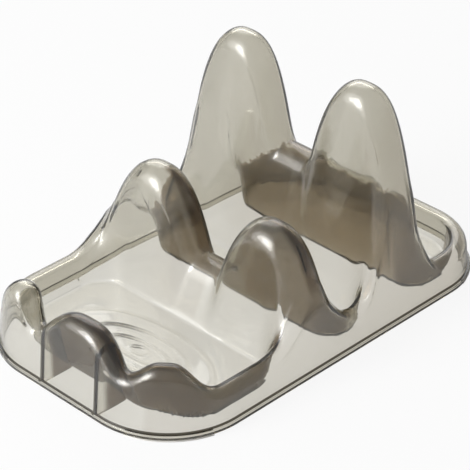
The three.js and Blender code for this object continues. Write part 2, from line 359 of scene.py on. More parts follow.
@dataclass(frozen=True)
class SmokePlastic:
    """Clear smoke-tinted plastic, polished, with the soft waves and hairlines of a used moulding, and painted
    shade and painted dark lines in its colour.
    """

    tint: Colour = (0.55, 0.512, 0.37, 1.0)
    density: float = 275.0
    refraction: float = 1.45
    polish: float = 0.04
    haze: float = 0.04
    coat: float = 1.0
    coat_roughness: float = 0.36
    wave_scale: float = 22.0
    wave_height: float = 0.00002
    cloud_scale: float = 45.0
    cloud_reach: tuple[float, float] = (0.45, 0.75)
    hairline_stretch: tuple[float, float, float] = (900.0, 40.0, 40.0)
    hairline_turn: tuple[float, float, float] = (0.0, 0.0, 0.6)
    hairline_reach: tuple[float, float] = (0.66, 0.8)
    dust_shares: tuple[float, float] = (0.6, 0.4)
    haze_shares: tuple[float, float] = (0.35, 0.65)
    pale: Colour = (1.0, 1.0, 1.0, 1.0)
    dusty: Colour = (0.97, 0.968, 0.96, 1.0)
    # brown and dark are painted shade, laid over the clear colour where the moulding's walls lie in shade;
    # line is the colour of the painted dark lines.
    brown: Colour = (0.45, 0.374, 0.29, 1.0)
    dark: Colour = (0.125, 0.08, 0.038, 1.0)
    line: Colour = (0.02, 0.017, 0.012, 1.0)
    # The sizes below, in metres, place the painted shade and the painted dark lines.
    half_plan: tuple[float, float] = (0.0685, 0.11)
    plan_radius: tuple[float, float] = (0.042, 0.036)
    wall_inset: tuple[float, float] = (0.007, 0.0105)
    wall_foot: tuple[float, float] = (0.004, 0.0065)
    front_foot: tuple[float, float] = (0.0215, 0.0132)
    foot_swing: tuple[float, float] = (-0.092, -0.0715)
    front_start: float = -0.021
    front_end: float = -0.031
    # Painted shade bands in the rear faces of the ranges, and their share of dark.
    band_shade_share: float = 0.5
    shade_bands: tuple[PaintedShadeBand, ...] = (
        PaintedShadeBand(-0.014, 0.002, (0.121, 1.765, 0.07), (0.0518, 0.79, 0.045)),
        PaintedShadeBand(0.0425, 0.0585, (0.0686, 0.785, 0.0545), (0.0406, 0.42, 0.0365)),
    )
    ragged: float = 0.014
    ragged_scale: float = 230.0
    shaded_side_walls: tuple[tuple[float, float], ...] = ((-0.001, 0.011), (0.056, 0.097))
    side_start: float = 0.046
    side_shade_share: float = 0.88
    skirt_shade_share: tuple[float, float] = (0.15, 0.2)
    skirt_swing: tuple[float, float] = (-0.05, 0.1)
    lip_shade_line: tuple[float, float] = (0.0034, 0.0042)
    lip_inset: tuple[float, float] = (0.0005, 0.0022)
    lip_step: tuple[float, float] = (0.0001, 0.0002)
    ribs: tuple[float, ...] = (-0.013, 0.0215)
    rib_half: float = 0.0009
    rib_reach: float = 0.0018
    rib_draft: float = 0.08
    rib_end: float = -0.09
    rib_step: float = 0.0003
    edge: float = 0.0015
    outline_shade_power: float = 6.5
    outline_shade_share: float = 1.0
    shaded_peak_sides: tuple[tuple[float, float], ...] = ((-0.036, -0.012), (0.036, 0.058))
    peak_shade_share: float = 0.15
    peak_margin: float = 0.015
    saddle: tuple[float, float] = (0.006, 0.013)
    saddle_rise: float = 0.0125
    ripples: RippleRings = RippleRings()

    def smoke(self, tree: ShaderTree, place: Signal, clear: Signal) -> Signal:
        """Painted shade on the front wall, the ranges, the right-hand sides and corners and the grazing
        edges, and the painted dark fine lines.

        Args:
            tree: The material's nodes.
            place: The coordinates.
            clear: Colour everywhere else.

        Returns:
            The colour.
        """
        x, y, z = (tree.add("ShaderNodeSeparateXYZ", {}, {0: place}, axis) for axis in "XYZ")

        def after(value: Signal, start: SignalOrNumber) -> Signal:
            """Soft step from 0 to 1 at a place."""
            return tree.range(value - start, -self.edge, self.edge)

        radius = self.plan_radius[0] + (self.plan_radius[1] - self.plan_radius[0]) * after(y, 0.0)
        across = abs(x) - self.half_plan[0] + radius
        along = abs(y) - self.half_plan[1] + radius
        past = (across.highest(0.0) ** 2.0 + along.highest(0.0) ** 2.0) ** 0.5
        inset = radius - past - across.highest(along).lowest(0.0)
        inside = tree.range(inset, *self.wall_inset)
        upright = tree.range(z, *self.wall_foot) * inside
        # Painted shade on the inner face of the front ridge, from a little left of the middle to the right.
        front, side = self.front_foot
        foot = front + (side - front) * tree.range(y, *self.foot_swing)
        front_wall_shade = (1.0 - after(inset, foot)) * (1.0 - after(y, self.front_end))
        dark = front_wall_shade * after(x, self.front_start) * inside
        # Painted brown shade on the right-hand outer skirt, more of it towards the rear.
        least, more = self.skirt_shade_share
        right = after(x, self.side_start)
        brown = right * (1.0 - inside) * (least + more * tree.range(y, *self.skirt_swing))
        # Painted dark shade on the inner faces of the right-hand side wall, beside the lid bay and the rear
        # trough.
        for start, end in self.shaded_side_walls:
            dark = dark.highest(self.side_shade_share * upright * right * after(y, start) * (1.0 - after(y, end)))
        # Painted shade bands on the rear faces of the ranges: brown under the upper line, dark between the
        # lines, with ragged edges and the upper line lifted at the saddle.
        height = z + self.ragged * (tree.noise(place, self.ragged_scale, 8.0) - 0.5)
        saddle = self.saddle_rise * (1.0 - tree.range(abs(x), *self.saddle))
        for band in self.shade_bands:
            face = upright * after(y, band.crest) * (1.0 - after(y, band.foot))
            under = face * (1.0 - band.over(tree, x, height - saddle, band.upper))
            brown = brown.highest(under)
            dark = dark.highest(self.band_shade_share * under * band.over(tree, x, height, band.lower))
        # Painted brown shade on the right-hand sides of the peaks.
        for start, full in self.shaded_peak_sides:
            turned = tree.range(x, start, full) * (1.0 - after(x, full + self.peak_margin))
            brown = brown.highest(self.peak_shade_share * upright * turned)
        # Painted dark line on the skirt just above the step of the lip.
        low, high = self.lip_shade_line
        outer, inner = self.lip_inset
        rise, run = self.lip_step
        shelf = tree.range(z, low - rise, low)
        # Painted dark lines: the painted shade arcs of the ripples, and lines on the outer skirt in front of
        # the gusset ribs.
        lines = self.ripples.shade(tree, x, y, z)
        skin = 1.0 - tree.range(inset - self.rib_draft * z, self.rib_reach, self.rib_reach + self.rib_step)
        ahead = 1.0 - after(y, self.rib_end)
        for centre in self.ribs:
            rib_shade_line = 1.0 - tree.range(abs(x - centre), self.rib_half - self.rib_step, self.rib_half)
            lines = lines.highest(rib_shade_line * ahead * shelf * skin)
        lip = shelf * (1.0 - tree.range(z, high, high + rise))
        lip = lip * tree.range(inset, outer, outer + run) * (1.0 - tree.range(inset, inner - run, inner))
        # Painted dark outlines where the surface is seen at a grazing angle, joined to the painted shade.
        facing = tree.add("ShaderNodeLayerWeight", {}, {"Blend": 0.5}, "Facing")
        deep = dark.highest(facing ** self.outline_shade_power * self.outline_shade_share)
        # The painted shade turns the clear colour brown and dark, and the painted dark lines go over it.
        colour = tree.blend(deep, tree.blend(brown, clear, self.brown), self.dark)
        return tree.blend(lines.highest(lip), colour, self.line)

    def material(self) -> bpy.types.Material:
        """Makes the material.

        Returns:
            The material.
        """
        material = bpy.data.materials.new(Slot.PLASTIC.value)
        tree = ShaderTree(material)
        place = tree.add("ShaderNodeTexCoord", {}, {}, "Object")
        clouds = tree.range(tree.noise(place, self.cloud_scale, 3.0), *self.cloud_reach)
        streaks = tree.stretch(place, self.hairline_stretch, self.hairline_turn)
        hairlines = tree.range(tree.noise(streaks, 1.0), *self.hairline_reach)
        waves = tree.noise(place, self.wave_scale, 1.0)
        bump = tree.add(
            "ShaderNodeBump", {}, {"Strength": 1.0, "Distance": self.wave_height, "Height": waves},
        )
        dust = clouds * self.dust_shares[0] + hairlines * self.dust_shares[1]
        polished = tree.blend(dust, self.pale, self.dusty)
        haze = clouds * self.haze_shares[0] + hairlines * self.haze_shares[1]
        # Base Color carries the painted shade and painted dark lines over the dusty clear colour.
        surface = tree.add("ShaderNodeBsdfPrincipled", {}, {
            "Base Color": self.smoke(tree, place, polished),
            "Roughness": self.polish + self.haze * haze,
            "IOR": self.refraction,
            "Transmission Weight": 1.0,
            "Coat Weight": self.coat,
            "Coat Roughness": self.coat_roughness,
            "Normal": bump,
        })
        inside = tree.add("ShaderNodeVolumeAbsorption", {}, {"Color": self.tint, "Density": self.density})
        tree.output(surface, inside)
        return material


@dataclass(frozen=True)
class ClearSilicone:
    """Milky soft silicone of the grip pads, with a fine matte grain and a little dust."""

    milk: Colour = (0.80, 0.79, 0.75, 1.0)
    dust: Colour = (0.62, 0.60, 0.56, 1.0)
    dust_scale: float = 180.0
    dust_reach: tuple[float, float] = (0.5, 0.8)
    grain_scale: float = 2600.0
    grain_height: float = 0.00005
    grain_strength: float = 0.6
    roughness: tuple[float, float, float] = (0.42, 0.2, 0.08)
    refraction: float = 1.41
    glow: float = 0.3
    glow_radius: tuple[float, float, float] = (0.002, 0.002, 0.0018)

    def material(self) -> bpy.types.Material:
        """Makes the material.

        Returns:
            The material.
        """
        material = bpy.data.materials.new(Slot.SILICONE.value)
        tree = ShaderTree(material)
        place = tree.add("ShaderNodeTexCoord", {}, {}, "Object")
        dust = tree.range(tree.noise(place, self.dust_scale, 4.0), *self.dust_reach)
        grain = tree.noise(place, self.grain_scale)
        sockets = {"Strength": self.grain_strength, "Distance": self.grain_height, "Height": grain}
        bump = tree.add("ShaderNodeBump", {}, sockets)
        clean, dusty, grainy = self.roughness
        surface = tree.add("ShaderNodeBsdfPrincipled", {}, {
            "Base Color": tree.blend(dust, self.milk, self.dust),
            "Roughness": clean + dusty * dust + grainy * grain,
            "IOR": self.refraction,
            "Subsurface Weight": self.glow,
            "Subsurface Radius": self.glow_radius,
            "Normal": bump,
        })
        tree.output(surface)
        return material


@dataclass(frozen=True)
class StudioWhite:
    """Matte white of the floor, which shows as plain white but keeps a faint shadow."""

    albedo: Colour = (0.7, 0.7, 0.7, 1.0)
    white_share: float = 0.9

    def material(self) -> bpy.types.Material:
        """Makes the material.

        Returns:
            The material.
        """
        material = bpy.data.materials.new("studio_white")
        tree = ShaderTree(material)
        matte = tree.add("ShaderNodeBsdfDiffuse", {}, {"Color": self.albedo})
        white = tree.add("ShaderNodeEmission", {}, {"Strength": 1.0})
        share = tree.seen() * self.white_share
        tree.output(tree.add("ShaderNodeMixShader", {}, {0: share, 1: matte, 2: white}))
        return material


# Smooth blends and drops that the moulded surface is made of


def smooth_min(first: Array, second: Array, blend: Union[Array, float]) -> Array:
    """The lower of two heights with a rounded crossing.

    Args:
        first: One height.
        second: The other height.
        blend: Height over which the crossing is rounded.

    Returns:
        The blended height.
    """
    blend = np.maximum(blend, 1e-6)
    share = np.clip(0.5 + 0.5 * (second - first) / blend, 0.0, 1.0)
    return second + (first - second) * share - blend * share * (1 - share)


def smooth_max(first: Array, second: Union[Array, float], blend: Union[Array, float]) -> Array:
    """The higher of two heights with a rounded crossing, as smooth_min."""
    return -smooth_min(-first, -np.asarray(second), blend)


def arc_drop(offset: Array, radius: Union[Array, float], slope: Union[Array, float]) -> Array:
    """Drop beside a crest: a circular arc that runs on as a straight slope.

    Args:
        offset: Distance from the crest.
        radius: Radius of the arc.
        slope: Slope of the straight part.

    Returns:
        The drop.
    """
    distance = np.abs(offset)
    steepness = np.hypot(1.0, slope)
    arc_end = radius * slope / steepness
    arc = radius - np.sqrt(np.maximum(radius ** 2 - np.minimum(distance, arc_end) ** 2, 0.0))
    return arc + slope * np.maximum(distance - arc_end, 0.0)


def face_slope(run: Union[Array, float], rise: Union[Array, float], radius: Union[Array, float]) -> Array:
    """Slope of a straight face from a foot up to an arc round a crest, tangent to the arc.

    Args:
        run: Distance from the crest to the foot.
        rise: Height of the crest above the foot.
        radius: Radius of the arc.

    Returns:
        The slope.
    """
    drop = rise - radius
    lean = np.arccos(radius / np.hypot(run, drop)) - np.arctan2(drop, run)
    return 1 / np.tan(lean)


def spread(start: float, end: float, count: int, power: float = 1.0) -> Array:
    """Lines after a start, up to and with an end, closer together at the start where power is over 1.

    Args:
        start: The start, which is left out.
        end: The end, which is kept.
        count: Number of lines.
        power: Easing.

    Returns:
        The lines.
    """
    return start + (end - start) * (np.arange(1, count + 1) / count) ** power


# Forms of the moulding


@dataclass(frozen=True)
class BasePlan:
    """Plan of the base: a rectangle with round corners."""

    width: float = 137.0
    length: float = 220.0
    front_radius: float = 42.0
    rear_radius: float = 36.0

    def _past_corner(self, x: Array, y: Array) -> tuple[Array, Array, Array]:
        """Corner radius at a point, and how far the point lies past the corner's centre.

        Args:
            x: Place across.
            y: Place along.

        Returns:
            The radius, the distance past its centre across, and the same along.
        """
        radius = np.where(y < 0, self.front_radius, self.rear_radius)
        return radius, np.abs(x) - self.width / 2 + radius, np.abs(y) - self.length / 2 + radius

    def inset(self, x: Array, y: Array) -> Array:
        """Distance in from the base outline.

        Args:
            x: Place across.
            y: Place along.

        Returns:
            The distance.
        """
        radius, across, along = self._past_corner(x, y)
        corner = np.hypot(np.maximum(across, 0.0), np.maximum(along, 0.0))
        return radius - corner - np.minimum(np.maximum(across, along), 0.0)

    def round_corner(self, x: Array, y: Array) -> tuple[Array, Array]:
        """Moves points of a square-cornered plan to the same places in the round-cornered one.

        Args:
            x: Places across.
            y: Places along.

        Returns:
            The new places.
        """
        radius, across, along = self._past_corner(x, y)
        inside = (across > 0) & (along > 0)
        reach = np.where(inside, np.maximum(across, along), 1.0)
        angle = np.where(inside, math.pi / 4 * np.minimum(across, along) / reach, 0.0)
        major, minor = reach * np.cos(angle), reach * np.sin(angle)
        wide = across >= along
        out_x = np.sign(x) * (self.width / 2 - radius + np.where(wide, major, minor))
        out_y = np.sign(y) * (self.length / 2 - radius + np.where(wide, minor, major))
        return np.where(inside, out_x, x), np.where(inside, out_y, y)

    def outward(self, x: Array, y: Array) -> tuple[Array, Array]:
        """Direction straight out from the outline.

        Args:
            x: Places across.
            y: Places along.

        Returns:
            The unit direction's two parts.
        """
        probe = 0.02
        out_x = self.inset(x - probe, y) - self.inset(x + probe, y)
        out_y = self.inset(x, y - probe) - self.inset(x, y + probe)
        size = np.hypot(out_x, out_y)
        return out_x / size, out_y / size


@dataclass(frozen=True)
class Hump:
    """A hump of the front ridge, at a distance along its crest from the middle."""

    station: float
    height: float
    spread: float


@dataclass(frozen=True)
class WallRidge:
    """Rounded ridge round the base, with the three humps that part the spoon handles."""

    plan: BasePlan
    height: float = 17.3
    inset: float = 8.2
    inner_radius: float = 2.7
    side_foot: float = 12.2
    front_foot: float = 20.5
    foot_swing: tuple[float, float] = (44.0, 76.0)
    inner_lean: float = 1.3
    hump_power: float = 3.0
    hump_lean: float = 0.125
    hump_rounding: float = 0.2
    lip_width: float = 1.2
    draft: float = 0.08
    humps: tuple[Hump, ...] = (Hump(-35.5, 39.0, 11.5), Hump(7.0, 39.6, 24.5), Hump(52.0, 32.5, 15.0))

    def station(self, x: Array, y: Array) -> Array:
        """Distance along the crest from the middle of the front.

        Args:
            x: Places across.
            y: Places along.

        Returns:
            The distance, negative to the left.
        """
        radius = self.plan.front_radius
        straight = self.plan.width / 2 - radius
        behind = y + self.plan.length / 2
        angle = np.arctan2(np.maximum(np.abs(x) - straight, 0.0), np.maximum(radius - behind, 1e-9))
        bend = (radius - self.inset) * angle + np.maximum(behind - radius, 0.0)
        return np.where(np.abs(x) <= straight, x, np.sign(x) * (straight + bend))

    def top(self, x: Array, y: Array) -> Array:
        """Height of the crest.

        Args:
            x: Places across.
            y: Places along.

        Returns:
            The height.
        """
        station = self.station(x, y)
        rise = np.zeros_like(station)
        for hump in self.humps:
            away = np.abs(station - hump.station) / hump.spread
            rise += (hump.height - self.height) * np.exp(-(away ** self.hump_power))
        return self.height + np.where(y > 0, 0.0, rise)

    def foot(self, x: Array, y: Array) -> Array:
        """Inset of the inner foot.

        Args:
            x: Places across.
            y: Places along.

        Returns:
            The inset.
        """
        start, end = self.foot_swing
        share = np.clip((np.abs(self.station(x, y)) - start) / (end - start), 0.0, 1.0)
        share = np.where(y > 0, 1.0, share * share * (3 - 2 * share))
        return self.front_foot + (self.side_foot - self.front_foot) * share

    def skirt(self, inset: Array) -> Array:
        """Height of the straight skirt at an inset."""
        return (inset - self.lip_width) / self.draft

    def surface(self, x: Array, y: Array, inset: Array, floor: Array) -> Array:
        """Height of the ridge: an outer arc tangent to the skirt, an inner arc, and a lean to the foot.

        Args:
            x: Places across.
            y: Places along.
            inset: Distance in from the base outline.
            floor: Height of the floor at the foot.

        Returns:
            The height.
        """
        top = self.top(x, y)
        rise = top - self.height
        crest = self.inset + self.hump_lean * rise
        room = crest - self.lip_width - self.draft * top
        outer = arc_drop(inset - crest, room / (math.hypot(1.0, self.draft) - self.draft), 1 / self.draft)
        run = self.foot(x, y) - crest
        radius = np.minimum(self.inner_radius + self.hump_rounding * rise, run - self.inner_lean)
        inner = arc_drop(inset - crest, radius, face_slope(run, top - floor, radius))
        return top - np.where(inset < crest, outer, inner)


@dataclass(frozen=True)
class Flank:
    """One side of a range: its reach from the crest to the foot, its rounding, and the corners of its bay."""

    reach: float
    radius: float
    corner: float


@dataclass(frozen=True)
class PeakRange:
    """A range with two equal peaks either side of a saddle, on straight feet."""

    y: float
    peak_x: float
    peak_height: float
    peak_reach: float
    peak_slope: float
    peak_power: float
    saddle_height: float
    saddle_blend: float
    wall_blend: float
    front: Flank
    rear: Flank
    least_rise: float = 1.0

    def crest(self, x: Array) -> Array:
        """Height of the crest line across the range.

        Args:
            x: Places across.

        Returns:
            The height.
        """
        full = self.peak_slope * self.peak_reach / self.peak_power

        def peak(centre: float) -> Array:
            """Height of one peak's own outline.

            Args:
                centre: Place of the peak across.

            Returns:
                The height.
            """
            away = np.abs(x - centre)
            near = full * (np.minimum(away, self.peak_reach) / self.peak_reach) ** self.peak_power
            return self.peak_height - near - self.peak_slope * np.maximum(away - self.peak_reach, 0.0)

        pair = smooth_max(peak(-self.peak_x), peak(self.peak_x), self.saddle_blend)
        return smooth_max(pair, self.saddle_height, self.saddle_blend)

    def side(self, y: Array, front: float, rear: float) -> Array:
        """One value in front of the crest line and another behind it."""
        return np.where(y < self.y, front, rear)

    def surface(self, x: Array, y: Array, floor: Array) -> Array:
        """Height of the range.

        Args:
            x: Places across.
            y: Places along.
            floor: Height of the floor at the foot.

        Returns:
            The height.
        """
        return self.profile(x, y, np.abs(y - self.y), floor)

    def profile(self, x: Array, y: Array, away: Array, floor: Array) -> Array:
        """Height of the side that a place lies on, at a distance from the crest line.

        Args:
            x: Places across.
            y: Places along, which choose the side.
            away: Distance from the crest line.
            floor: Height of the floor at the foot.

        Returns:
            The height.
        """
        crest = self.crest(x)
        radius = self.side(y, self.front.radius, self.rear.radius)
        reach = self.side(y, self.front.reach, self.rear.reach)
        slope = face_slope(reach, np.maximum(crest - floor, self.least_rise), radius)
        return crest - arc_drop(away, radius, slope)

    def corner(self, x: Array, y: Array, inset: Array, floor: Array, ridge: WallRidge) -> Array:
        """Height round the corner of a bay, where the side of the range turns into the side wall.

        Args:
            x: Places across.
            y: Places along.
            inset: Distance in from the base outline.
            floor: Height of the floor.
            ridge: The side wall.

        Returns:
            The height, far below the floor away from the corner.
        """
        radius = self.side(y, self.front.corner, self.rear.corner)
        reach = self.side(y, self.front.reach, self.rear.reach)
        near_range = radius - np.abs(y - self.y) + reach
        near_wall = radius - inset + ridge.side_foot
        outside = np.hypot(near_range, near_wall) - radius
        turn = np.arctan2(near_wall, near_range) / (math.pi / 2)
        share = turn * turn * (3 - 2 * turn)
        flank = self.profile(x, y, np.maximum(reach - outside, 0.0), floor)
        wall_inset = np.maximum(ridge.side_foot - outside, np.minimum(inset, ridge.inset))
        wall = ridge.surface(x, y, wall_inset, floor)
        return np.where((near_range > 0) & (near_wall > 0), flank + (wall - flank) * share, -self.peak_height)

    def corner_share(self, y: Array, inset: Array, ridge: WallRidge) -> Array:
        """How deep a place lies in the corner of a bay.

        Args:
            y: Places along.
            inset: Distance in from the base outline.
            ridge: The side wall.

        Returns:
            0 at the corner's borders, up to 1 inside.
        """
        radius = self.side(y, self.front.corner, self.rear.corner)
        near_range = radius - np.abs(y - self.y) + self.side(y, self.front.reach, self.rear.reach)
        return np.clip(np.minimum(near_range, radius - inset + ridge.side_foot) / radius, 0.0, 1.0)


@dataclass(frozen=True)
class GridLines:
    """Numbers of surface lines, close together where the moulding curves."""

    skirt: int = 12
    ridge_curve: int = 8
    ridge_foot: int = 13
    spoon_bay: int = 88
    foot: int = 5
    flank: int = 9
    crest: int = 8
    lid_bay: int = 8
    trough: int = 12
    middle_columns: int = 92


@dataclass
class MouldedBody:
    """The moulding: lip, skirt, wall ridge, bays, ranges of peaks and the gusset ribs beneath the front."""

    finish: SmokePlastic
    plan: BasePlan = field(default_factory=BasePlan)
    lines: GridLines = field(default_factory=GridLines)
    middle: PeakRange = PeakRange(
        y=-14.0, peak_x=35.8, peak_height=63.9, peak_reach=21.75, peak_slope=2.76, peak_power=2.57,
        saddle_height=27.5, saddle_blend=7.0, wall_blend=36.8,
        front=Flank(18.0, 10.5, 14.0), rear=Flank(15.5, 10.0, 10.0),
    )
    rear: PeakRange = PeakRange(
        y=42.5, peak_x=36.6, peak_height=111.05, peak_reach=20.8, peak_slope=4.04, peak_power=2.77,
        saddle_height=63.0, saddle_blend=13.7, wall_blend=30.0,
        front=Flank(20.0, 10.0, 10.0), rear=Flank(16.0, 8.5, 10.0),
    )
    wall: float = 2.0
    lip_height: float = 2.5
    lip_round: float = 0.45
    lip_steps: int = 5
    rim_ease: float = 0.3
    spoon_floor: float = 2.6
    lid_floor: float = 4.5
    fillet: float = 3.0
    corner_blend: float = 8.0
    skirt_blend: tuple[float, float] = (3.0, 24.0)
    pad_lift: float = 1.0
    rib_centres: tuple[float, ...] = (-13.0, 21.5)
    rib_thickness: float = 1.6
    rib_lift: float = 0.8
    rib_steps: int = 48
    probe_rings: int = 9
    probe_turns: int = 24
    smooth_angle: float = math.radians(50)

    def __post_init__(self) -> None:
        """Makes the ridge that goes with the plan."""
        self.ridge = WallRidge(self.plan)

    def floor(self, y: Array) -> Array:
        """Height of the floor of the bay at a place along."""
        return np.where(y < self.middle.y, self.spoon_floor, self.lid_floor)

    def top(self, x: Array, y: Array) -> Array:
        """Height of the upper surface above the rim, without the ripples.

        Args:
            x: Places across.
            y: Places along.

        Returns:
            The height.
        """
        inset = self.plan.inset(x, y)
        floor = self.floor(y)
        ridge = self.ridge.surface(x, y, inset, floor)
        joined = ridge
        for peaks in (self.middle, self.rear):
            joined = smooth_max(joined, peaks.surface(x, y, floor), peaks.wall_blend)
            blend = self.corner_blend * peaks.corner_share(y, inset, self.ridge)
            joined = smooth_max(joined, peaks.corner(x, y, inset, floor, self.ridge), blend)
        blend = np.clip(joined - ridge, *self.skirt_blend)
        trimmed = smooth_min(joined, self.ridge.skirt(inset), blend)
        bays = smooth_max(trimmed, floor, self.fillet)
        return np.where(inset < self.ridge.inset, trimmed, bays)

    def rippled(self, x: Array, y: Array) -> Array:
        """Height of the upper surface with the ripples on the floor of the spoon bay.

        Args:
            x: Places across.
            y: Places along.

        Returns:
            The height.
        """
        height = self.top(x, y)
        ripples = self.finish.ripples
        level = np.clip(1 - (height - self.spoon_floor - self.fillet / 4) / ripples.fade, 0.0, 1.0)
        return height + np.where(y < self.middle.y, level, 0.0) * ripples.rise(x, y)

    @staticmethod
    def unfold(points: Array, rounds: int = 80) -> Array:
        """Relaxes a sheet where its lines cross in plan, as on the inside of a tight bend.

        Args:
            points: The sheet, rows by columns.
            rounds: Most rounds of relaxing.

        Returns:
            The sheet without crossings.
        """
        sheet = points.copy()
        for _ in range(rounds):
            first = sheet[1:, 1:] - sheet[:-1, :-1]
            second = sheet[1:, :-1] - sheet[:-1, 1:]
            area = first[..., 0] * second[..., 1] - first[..., 1] * second[..., 0]
            crossed = area <= 0.02 * np.median(area)
            if not crossed.any():
                break
            near = np.zeros(sheet.shape[:2], bool)
            for row in (0, 1):
                for column in (0, 1):
                    near[row:row + crossed.shape[0], column:column + crossed.shape[1]] |= crossed
            near[1:] |= near[:-1].copy()
            near[:-1] |= near[1:].copy()
            near[:, 1:] |= near[:, :-1].copy()
            near[:, :-1] |= near[:, 1:].copy()
            near[[0, -1], :] = False
            near[:, [0, -1]] = False
            mean = sheet.copy()
            mean[1:-1, 1:-1] = (sheet[:-2, 1:-1] + sheet[2:, 1:-1] + sheet[1:-1, :-2] + sheet[1:-1, 2:]) / 4
            sheet[near] = (sheet[near] + mean[near]) / 2
        return sheet

    def underside(self, x: Array, y: Array) -> Array:
        """Lower sheet: a wall below the upper surface, and everywhere at least a wall away from it.

        Args:
            x: Places across.
            y: Places along.

        Returns:
            The sheet, rows by columns.
        """
        straight = self.below(x, y, self.wall)
        sheet = self.unfold(straight)
        moved = np.any(sheet != straight, axis=-1)
        places = sheet[moved]
        height = np.full(len(places), np.inf)
        for reach in self.wall * np.sin(np.linspace(0.0, math.pi / 2, self.probe_rings)):
            depth = math.sqrt(self.wall ** 2 - reach ** 2)
            for turn in np.linspace(0.0, 2 * math.pi, self.probe_turns, endpoint=False):
                near_x = places[:, 0] + reach * math.cos(turn)
                near_y = places[:, 1] + reach * math.sin(turn)
                height = np.minimum(height, self.top(near_x, near_y) - depth)
        sheet[moved, 2] = height
        return sheet

    def below(self, x: Array, y: Array, depth: float) -> Array:
        """Points a depth below the upper surface, measured square to it.

        Args:
            x: Places across.
            y: Places along.
            depth: The depth.

        Returns:
            The points, one row of three for each place.
        """
        probe = 0.05
        slope_x = (self.top(x + probe, y) - self.top(x - probe, y)) / (2 * probe)
        slope_y = (self.top(x, y + probe) - self.top(x, y - probe)) / (2 * probe)
        size = np.sqrt(1 + slope_x ** 2 + slope_y ** 2)
        points = (x + depth * slope_x / size, y + depth * slope_y / size, self.top(x, y) - depth / size)
        return np.stack(points, axis=-1)

    def wall_insets(self) -> Array:
        """Insets of the lines that follow the outer wall.

        Returns:
            The insets, from the foot of the skirt to the bays.
        """
        ridge, lines = self.ridge, self.lines
        start = ridge.lip_width + ridge.draft * self.lip_height
        turns = spread(0.0, math.pi / 2, lines.ridge_curve)
        return np.concatenate((
            [start],
            spread(start, ridge.inset, lines.skirt, 1.5),
            ridge.inset + ridge.inner_radius * np.sin(turns),
            spread(ridge.inset + ridge.inner_radius, ridge.front_foot, lines.ridge_foot),
        ))

    def range_edges(self, x: Array, peaks: PeakRange) -> tuple[Array, Array]:
        """Front and rear foot lines of a range, with the bay corners that round them off.

        Args:
            x: The columns.
            peaks: The range.

        Returns:
            The two lines.
        """
        from_wall = self.plan.width / 2 - np.abs(x) - self.ridge.side_foot

        def foot(flank: Flank) -> Array:
            """Distance to the floor on one side, further out where the bay's corner rounds off."""
            past = np.clip(flank.corner - from_wall, 0.0, flank.corner)
            return flank.reach + flank.corner - np.sqrt(flank.corner ** 2 - past ** 2)

        return peaks.y - foot(peaks.front), peaks.y + foot(peaks.rear)

    def rows(self, x: Array) -> Array:
        """Rows of the surface lines in each column.

        Args:
            x: The columns.

        Returns:
            Places along, one row of the array for each surface line.
        """
        lines, half = self.lines, self.plan.length / 2
        walls = self.wall_insets()
        least = 0.6
        bay_end = half - walls[-1]
        mid_front, mid_rear = self.range_edges(x, self.middle)
        rear_front, rear_rear = self.range_edges(x, self.rear)
        gap = (mid_rear + rear_front) / 2
        fillet = 1.2
        stops: list[tuple[Array, int, str]] = []
        mid_front = np.maximum(mid_front - fillet, -bay_end + least)
        mid_rear = np.minimum(mid_rear + fillet, gap - least)
        rear_front = np.maximum(rear_front - fillet, gap + least)
        rear_rear = np.minimum(rear_rear + fillet, bay_end - least)
        stops.append((mid_front, lines.spoon_bay, "even"))
        for peaks, front, rear, after in (
            (self.middle, mid_front, mid_rear, lines.lid_bay),
            (self.rear, rear_front, rear_rear, lines.trough),
        ):
            before, behind = peaks.y - peaks.front.radius, peaks.y + peaks.rear.radius
            rise = 2 * fillet
            stops.append((np.minimum(front + rise, (front + before) / 2), lines.foot, "even"))
            stops.append((np.full_like(x, before), lines.flank, "even"))
            stops.append((np.full_like(x, peaks.y), lines.crest, "in"))
            stops.append((np.full_like(x, behind), lines.crest, "out"))
            stops.append((np.maximum(rear - rise, (rear + behind) / 2), lines.flank, "even"))
            stops.append((rear, lines.foot, "even"))
            stops.append((rear_front if peaks is self.middle else np.full_like(x, bay_end), after, "even"))
        rows = [np.full_like(x, place) for place in walls - half]
        for end, count, ease in stops:
            start = rows[-1]
            for share in np.arange(1, count + 1) / count:
                if ease == "in":
                    share = 1 - math.sin((1 - share) * math.pi / 2)
                elif ease == "out":
                    share = math.sin(share * math.pi / 2)
                rows.append(start + (end - start) * share)
        rows.extend(np.full_like(x, half - inset) for inset in walls[-2::-1])
        return np.stack(rows)

    def grid(self) -> tuple[Array, Array]:
        """Places of the surface lines' crossings.

        Returns:
            Places across and along, rows by columns.
        """
        sides = self.plan.width / 2 - self.wall_insets()
        middle = spread(-sides[-1], sides[-1], self.lines.middle_columns)[:-1]
        columns = np.concatenate((-sides, middle, sides[::-1]))
        along = self.rows(columns)
        across = np.broadcast_to(columns, along.shape)
        return self.plan.round_corner(across, along)

    def rim_profile(self) -> list[tuple[float, float]]:
        """Profile of the rings round the lip.

        Returns:
            Inset and height of each, from the skirt's foot to the inner edge of the rim.
        """
        turn = np.linspace(0.0, math.pi / 2, self.lip_steps)
        r, top, inner = self.lip_round, self.lip_height, self.ridge.lip_width + self.wall
        upper = [(r - r * math.sin(a), top - r + r * math.cos(a)) for a in turn]
        lower = [(r - r * math.cos(a), r - r * math.sin(a)) for a in turn]
        return upper + lower + [(inner - r, 0.0), (inner - r * self.rim_ease, r * self.rim_ease)]

